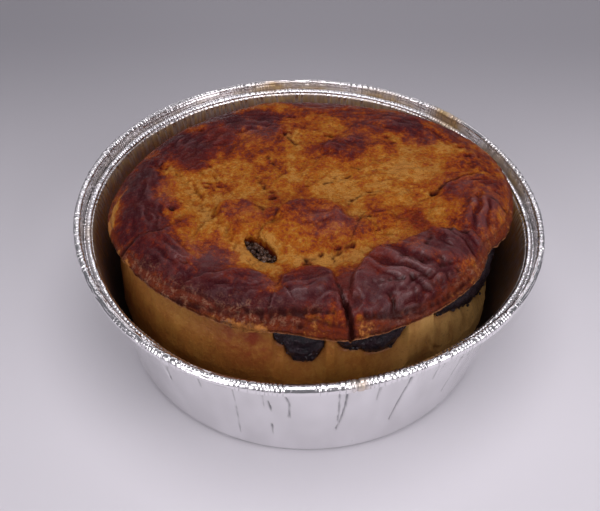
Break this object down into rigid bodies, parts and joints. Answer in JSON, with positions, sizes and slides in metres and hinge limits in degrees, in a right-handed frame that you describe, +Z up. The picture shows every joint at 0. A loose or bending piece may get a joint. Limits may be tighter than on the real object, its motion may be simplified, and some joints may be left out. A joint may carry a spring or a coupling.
{
  "type": "steak and haggis pie",
  "caption": "Round deep pie in a pressed foil tin, with a browned, blistered lid that overhangs its pastry case and dark filling showing under the front of the lid.",
  "frame": {"origin": "centre of the bounding box at the underside, where the tin stands", "axes": "+Z up; -Y is the side where the filling shows under the lid"},
  "size_m": [0.1264, 0.1238, 0.053],
  "materials": {
    "foil_tin": "satin pressed foil, crimped at the rim",
    "pastry_case": "smooth baked pastry, tan to olive brown",
    "filling": "wet, granular, nearly black",
    "pastry_lid": "glazed pastry, golden in the middle and dark brown on the blisters"
  },
  "bodies": {
    "root": {"foil_tin": "foil_tin", "pastry_case": "pastry_case", "filling": "filling", "pastry_lid": "pastry_lid"}
  },
  "joints": []
}
